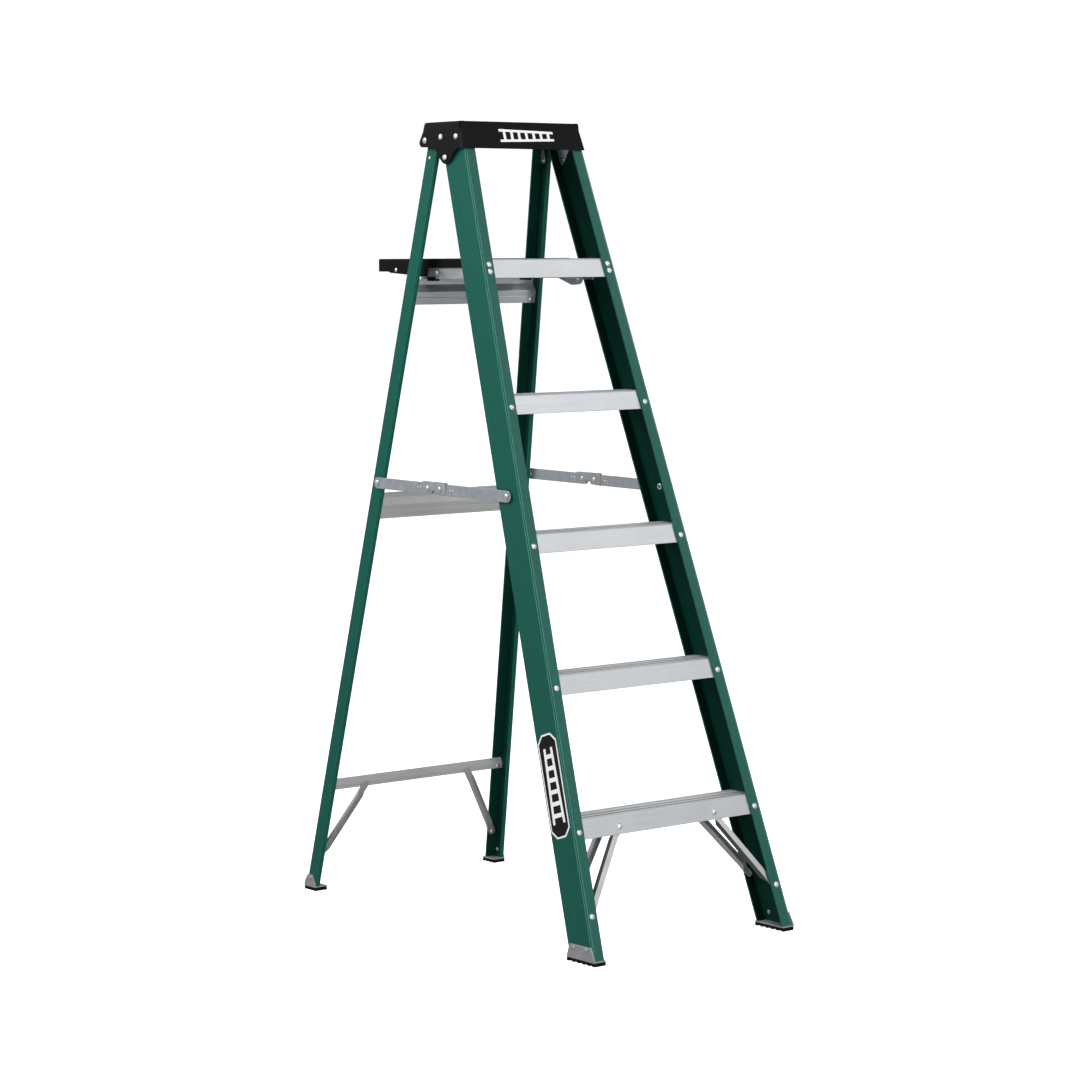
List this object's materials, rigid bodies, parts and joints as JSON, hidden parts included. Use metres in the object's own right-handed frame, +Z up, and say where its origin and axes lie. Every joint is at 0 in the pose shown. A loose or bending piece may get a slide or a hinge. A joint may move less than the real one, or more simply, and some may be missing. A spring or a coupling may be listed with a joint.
{
  "type": "folding stepladder",
  "caption": "Folding fibreglass stepladder: tapered channel rails, ribbed metal steps, moulded top cap, fold-up pail shelf, hinged rear section and folding spreaders.",
  "frame": {"origin": "on the floor, at the middle of the open ladder's footprint", "axes": "+Z up, +X across the ladder to the right of a person facing the steps, +Y from the steps towards the rear section"},
  "size_m": [0.559, 1.052, 1.741],
  "materials": {
    "fibreglass_green": "satin pultruded fibreglass",
    "black_plastic": "fine moulded texture",
    "aluminium": "mill finish extrusion",
    "zinc_steel": "zinc plated",
    "rubber": "matt moulded rubber"
  },
  "bodies": {
    "front_section": {"top_cap": "black_plastic", "front_rail_left": "fibreglass_green", "front_rail_right": "fibreglass_green", "step_1": "aluminium", "step_2": "aluminium", "step_3": "aluminium", "step_4": "aluminium", "step_5": "aluminium", "step_brace_front_left": "zinc_steel", "step_brace_front_right": "zinc_steel", "step_brace_rear_left": "zinc_steel", "step_brace_rear_right": "zinc_steel", "front_foot_bracket_left": "zinc_steel", "front_foot_bracket_right": "zinc_steel", "front_foot_tread_left": "rubber", "front_foot_tread_right": "rubber", "rear_hinge_rivet_left": "zinc_steel", "rear_hinge_rivet_right": "zinc_steel", "spreader_front_rivet_left": "zinc_steel", "spreader_front_rivet_right": "zinc_steel", "shelf_pivot_pin_left": "zinc_steel", "shelf_pivot_pin_right": "zinc_steel"},
    "rear_section": {"rear_rail_left": "fibreglass_green", "rear_rail_right": "fibreglass_green", "rear_horizontal_bottom": "aluminium", "rear_horizontal_middle": "aluminium", "rear_horizontal_top": "aluminium", "rear_brace_left": "zinc_steel", "rear_brace_right": "zinc_steel", "rear_hinge_strap_left": "zinc_steel", "rear_hinge_strap_right": "zinc_steel", "rear_foot_bracket_left": "zinc_steel", "rear_foot_bracket_right": "zinc_steel", "rear_foot_tread_left": "rubber", "rear_foot_tread_right": "rubber"},
    "pail_shelf": {"pail_shelf": "black_plastic", "shelf_arm_left": "zinc_steel", "shelf_arm_right": "zinc_steel", "shelf_bumper_left": "rubber", "shelf_bumper_right": "rubber"},
    "spreader_front_left": {"spreader_front_arm_left": "zinc_steel"},
    "spreader_link_left": {"spreader_link_left": "zinc_steel", "spreader_link_pin_front_left": "zinc_steel", "spreader_link_pin_rear_left": "zinc_steel"},
    "spreader_rear_left": {"spreader_rear_arm_left": "zinc_steel", "spreader_rear_rivet_left": "zinc_steel"},
    "spreader_front_right": {"spreader_front_arm_right": "zinc_steel"},
    "spreader_link_right": {"spreader_link_right": "zinc_steel", "spreader_link_pin_front_right": "zinc_steel", "spreader_link_pin_rear_right": "zinc_steel"},
    "spreader_rear_right": {"spreader_rear_arm_right": "zinc_steel", "spreader_rear_rivet_right": "zinc_steel"}
  },
  "joints": [
    {"name": "fold", "type": "hinge", "parent": "front_section", "child": "rear_section", "pos_m": [0, 0.1745, 1.7016], "axis": [-1, 0, 0], "range_deg": [0, 30]},
    {"name": "shelf_lift", "type": "hinge", "parent": "front_section", "child": "pail_shelf", "pos_m": [0, 0.018, 1.399], "axis": [1, 0, 0], "range_deg": [0, 45]},
    {"name": "spreader_front_left", "type": "hinge", "parent": "front_section", "child": "spreader_front_left", "pos_m": [-0.2178, -0.1684, 0.9416], "axis": [1, 0, 0], "range_deg": [0, 69]},
    {"name": "spreader_link_left", "type": "hinge", "parent": "spreader_front_left", "child": "spreader_link_left", "pos_m": [-0.2178, 0.06499, 0.94404], "axis": [1, 0, 0], "range_deg": [-59, 0]},
    {"name": "spreader_rear_left", "type": "hinge", "parent": "spreader_link_left", "child": "spreader_rear_left", "pos_m": [-0.2178, 0.10798, 0.94449], "axis": [1, 0, 0], "range_deg": [-117, 0]},
    {"name": "spreader_front_right", "type": "hinge", "parent": "front_section", "child": "spreader_front_right", "pos_m": [0.2178, -0.1684, 0.9416], "axis": [1, 0, 0], "range_deg": [0, 69]},
    {"name": "spreader_link_right", "type": "hinge", "parent": "spreader_front_right", "child": "spreader_link_right", "pos_m": [0.2178, 0.06499, 0.94404], "axis": [1, 0, 0], "range_deg": [-59, 0]},
    {"name": "spreader_rear_right", "type": "hinge", "parent": "spreader_link_right", "child": "spreader_rear_right", "pos_m": [0.2178, 0.10798, 0.94449], "axis": [1, 0, 0], "range_deg": [-117, 0]}
  ],
  "couplings": [
    {"joint": "shelf_lift", "follows": "fold", "ratio": 1.5},
    {"joint": "spreader_front_left", "follows": "fold", "ratio": 2.292},
    {"joint": "spreader_link_left", "follows": "fold", "ratio": -1.96},
    {"joint": "spreader_rear_left", "follows": "fold", "ratio": -3.864},
    {"joint": "spreader_front_right", "follows": "fold", "ratio": 2.292},
    {"joint": "spreader_link_right", "follows": "fold", "ratio": -1.96},
    {"joint": "spreader_rear_right", "follows": "fold", "ratio": -3.864}
  ]
}
